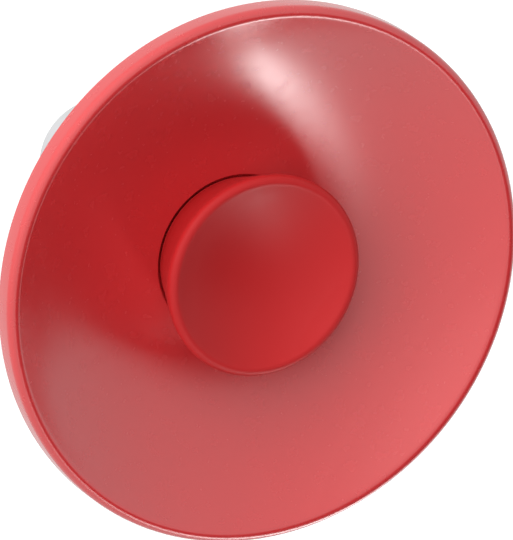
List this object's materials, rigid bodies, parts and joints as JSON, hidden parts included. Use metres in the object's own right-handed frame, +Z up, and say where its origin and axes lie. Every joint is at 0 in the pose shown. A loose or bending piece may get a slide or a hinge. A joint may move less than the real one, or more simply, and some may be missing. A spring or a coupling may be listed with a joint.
{
  "type": "emergency stop button",
  "caption": "Panel-mount emergency stop button with a large red palm dish, a raised round grip knob with a cupped face, and a threaded barrel with recessed tab terminals.",
  "frame": {"origin": "centre of the mounting hole on the panel's front face, under the gasket", "axes": "+Y along the button's axis, away from the user into the panel; -Y towards the user; +Z up"},
  "size_m": [0.1, 0.072, 0.1],
  "materials": {
    "red_dish": "smooth moulded red, satin gloss",
    "red_knob": "smooth moulded red, satin gloss",
    "pale_plastic": "pale grey moulded plastic",
    "black_plastic": "black moulded plastic",
    "bearing_plastic": "natural slippery plastic",
    "black_rubber": "soft black rubber",
    "brass": "turned and knurled",
    "copper_alloy": "stamped strip",
    "silver": "silver contact rivets",
    "spindle_steel": "turned zinc-plated steel",
    "spring_steel": "bright spring steel"
  },
  "bodies": {
    "housing": {"bezel_collar": "pale_plastic", "panel_gasket": "black_rubber", "wiper_seal": "black_rubber", "guide_bush": "bearing_plastic", "barrel": "pale_plastic", "lock_washer": "spring_steel", "panel_nut": "pale_plastic", "contact_cover": "black_plastic", "contact_base": "black_plastic", "terminal_1": "copper_alloy", "terminal_2": "copper_alloy", "terminal_3": "copper_alloy", "terminal_4": "copper_alloy", "fixed_tips": "silver", "return_spring_upper": "spring_steel", "return_spring_lower": "spring_steel", "rear_cover": "pale_plastic", "cover_screws": "spindle_steel"},
    "carriage": {"plunger": "black_plastic", "twist_spring": "spring_steel", "contact_bridge_left": "copper_alloy", "contact_bridge_right": "copper_alloy", "bridge_tips": "silver", "contact_springs": "spring_steel", "latch_springs": "spring_steel"},
    "head": {"palm_dish": "red_dish", "grip_knob": "red_knob", "knob_insert": "brass", "knob_seal": "black_rubber", "spindle": "spindle_steel", "thrust_washer": "spring_steel", "spindle_clip": "spring_steel"},
    "latch_left": {"latch_pin_left": "spindle_steel"},
    "latch_right": {"latch_pin_right": "spindle_steel"}
  },
  "joints": [
    {"name": "press", "type": "slide", "parent": "housing", "child": "carriage", "axis": [0, 1, 0], "range_m": [0, 0.0045], "stiffness_N_per_m": 1500, "springref_m": -0.006, "deforming": ["return_spring_upper", "return_spring_lower"]},
    {"name": "twist_release", "type": "hinge", "parent": "carriage", "child": "head", "pos_m": [0, 0, 0], "axis": [0, 1, 0], "range_deg": [0, 45], "stiffness_Nm_per_rad": 0.15, "springref_deg": -20.05},
    {"name": "latch_left_slide", "type": "slide", "parent": "carriage", "child": "latch_left", "axis": [-1, 0, 0], "range_m": [0, 0.00045]},
    {"name": "latch_right_slide", "type": "slide", "parent": "carriage", "child": "latch_right", "axis": [1, 0, 0], "range_m": [0, 0.00045]}
  ],
  "couplings": [
    {"joint": "latch_left_slide", "follows": "press", "ratio": 0.1},
    {"joint": "latch_right_slide", "follows": "press", "ratio": 0.1}
  ]
}
